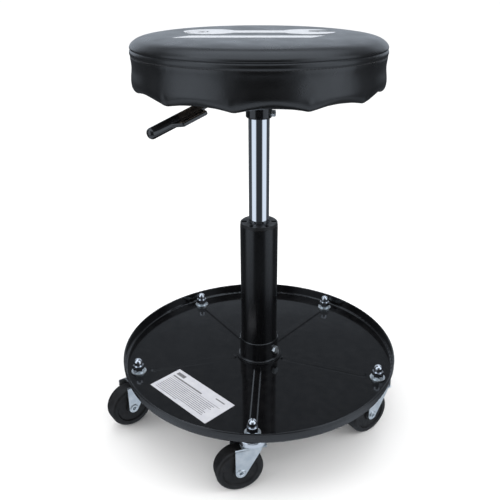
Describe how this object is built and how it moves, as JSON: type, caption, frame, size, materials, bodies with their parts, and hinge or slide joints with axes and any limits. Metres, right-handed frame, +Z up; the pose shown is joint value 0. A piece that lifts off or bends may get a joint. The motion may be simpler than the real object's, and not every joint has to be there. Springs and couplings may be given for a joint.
{
  "type": "rolling mechanic's creeper stool",
  "caption": "Height adjustable round padded stool on a gas lift, over a round steel tool tray that rolls on swivel casters.",
  "frame": {"origin": "point on the floor under the column's axis", "axes": "+Z up along the column; -Y towards the stool's front, the side nearest the pictured view; +X to the right seen from the front"},
  "size_m": [0.425, 0.4106, 0.545],
  "materials": {
    "black_paint": "gloss",
    "black_oxide": "satin",
    "black_plastic": "matte",
    "gloss_black_plastic": "gloss",
    "steel": "brushed",
    "zinc": "satin",
    "chrome": "polished",
    "aluminium": "satin",
    "rubber": "matte",
    "wheel_rubber": "satin",
    "plywood": "raw",
    "foam": "matte",
    "vinyl": "satin"
  },
  "bodies": {
    "base": {"tool_tray": "black_paint", "column_socket": "black_paint", "socket_screws": "black_oxide", "gas_lift_housing": "black_paint", "guide_sleeve": "black_plastic", "thrust_washers": "steel", "thrust_balls": "steel", "cap_nuts": "chrome", "lock_washers": "zinc", "flat_washers": "zinc", "caster_stems": "zinc", "swivel_balls": "steel", "race_back_right": "chrome", "race_back_left": "chrome", "race_left": "chrome", "race_front": "chrome", "race_right": "chrome"},
    "lift_rod": {"piston_rod": "steel", "piston": "aluminium", "piston_seal": "rubber", "retaining_clip": "steel"},
    "seat": {"pressure_tube": "chrome", "rod_guide": "aluminium", "rod_seal": "rubber", "valve_housing": "aluminium", "seat_collar": "black_paint", "collar_screw": "zinc", "seat_plate": "black_paint", "lever_pivot_pin": "zinc", "seat_board": "plywood", "seat_foam": "foam", "seat_cover": "vinyl", "cover_staples": "steel", "seat_bolts": "zinc", "tee_nuts": "zinc"},
    "lever": {"lever_rod": "black_paint", "lever_handle": "gloss_black_plastic"},
    "valve": {"valve_pin": "steel"},
    "caster_back_right": {"fork_back_right": "zinc", "axle_back_right": "zinc"},
    "roller_back_right": {"wheel_back_right": "wheel_rubber", "bushing_back_right": "steel"},
    "caster_back_left": {"fork_back_left": "zinc", "axle_back_left": "zinc"},
    "roller_back_left": {"wheel_back_left": "wheel_rubber", "bushing_back_left": "steel"},
    "caster_left": {"fork_left": "zinc", "axle_left": "zinc"},
    "roller_left": {"wheel_left": "wheel_rubber", "bushing_left": "steel"},
    "caster_front": {"fork_front": "zinc", "axle_front": "zinc"},
    "roller_front": {"wheel_front": "wheel_rubber", "bushing_front": "steel"},
    "caster_right": {"fork_right": "zinc", "axle_right": "zinc"},
    "roller_right": {"wheel_right": "wheel_rubber", "bushing_right": "steel"}
  },
  "joints": [
    {"name": "seat_swivel", "type": "hinge", "parent": "base", "child": "lift_rod", "pos_m": [0, 0, 0.09], "axis": [0, 0, 1], "continuous": true},
    {"name": "seat_lift", "type": "slide", "parent": "lift_rod", "child": "seat", "axis": [0, 0, 1], "range_m": [-0.127, 0]},
    {"name": "lever_lift", "type": "hinge", "parent": "seat", "child": "lever", "pos_m": [-0.02206, -0.01724, 0.4703], "axis": [-0.6157, 0.788, 0], "range_deg": [0, 6], "stiffness_Nm_per_rad": 6, "springref_deg": -2.86},
    {"name": "valve_press", "type": "slide", "parent": "seat", "child": "valve", "axis": [0, 0, 1], "range_m": [-0.003, 0]},
    {"name": "caster_swivel_back_right", "type": "hinge", "parent": "base", "child": "caster_back_right", "pos_m": [0.11392, 0.14271, 0.07], "axis": [0, 0, 1], "continuous": true},
    {"name": "wheel_spin_back_right", "type": "hinge", "parent": "caster_back_right", "child": "roller_back_right", "pos_m": [0.0967, 0.13355, 0.03175], "axis": [0.4695, -0.8829, 0], "continuous": true},
    {"name": "caster_swivel_back_left", "type": "hinge", "parent": "base", "child": "caster_back_left", "pos_m": [-0.10052, 0.15244, 0.07], "axis": [0, 0, 1], "continuous": true},
    {"name": "wheel_spin_back_left", "type": "hinge", "parent": "caster_back_left", "child": "roller_back_left", "pos_m": [-0.11847, 0.14482, 0.03175], "axis": [0.3907, -0.9205, 0], "continuous": true},
    {"name": "caster_swivel_left", "type": "hinge", "parent": "base", "child": "caster_left", "pos_m": [-0.17604, -0.04849, 0.07], "axis": [0, 0, 1], "continuous": true},
    {"name": "wheel_spin_left", "type": "hinge", "parent": "caster_left", "child": "roller_left", "pos_m": [-0.19156, -0.06031, 0.03175], "axis": [0.606, -0.7955, 0], "continuous": true},
    {"name": "caster_swivel_front", "type": "hinge", "parent": "base", "child": "caster_front", "pos_m": [-0.00828, -0.18241, 0.07], "axis": [0, 0, 1], "continuous": true},
    {"name": "wheel_spin_front", "type": "hinge", "parent": "caster_front", "child": "roller_front", "pos_m": [-0.02687, -0.18831, 0.03175], "axis": [0.3024, -0.9532, 0], "continuous": true},
    {"name": "caster_swivel_right", "type": "hinge", "parent": "base", "child": "caster_right", "pos_m": [0.17092, -0.06425, 0.07], "axis": [0, 0, 1], "continuous": true},
    {"name": "wheel_spin_right", "type": "hinge", "parent": "caster_right", "child": "roller_right", "pos_m": [0.15509, -0.07563, 0.03175], "axis": [0.5835, -0.8121, 0], "continuous": true}
  ],
  "couplings": [
    {"joint": "valve_press", "follows": "lever_lift", "m_per_rad": -0.028}
  ]
}
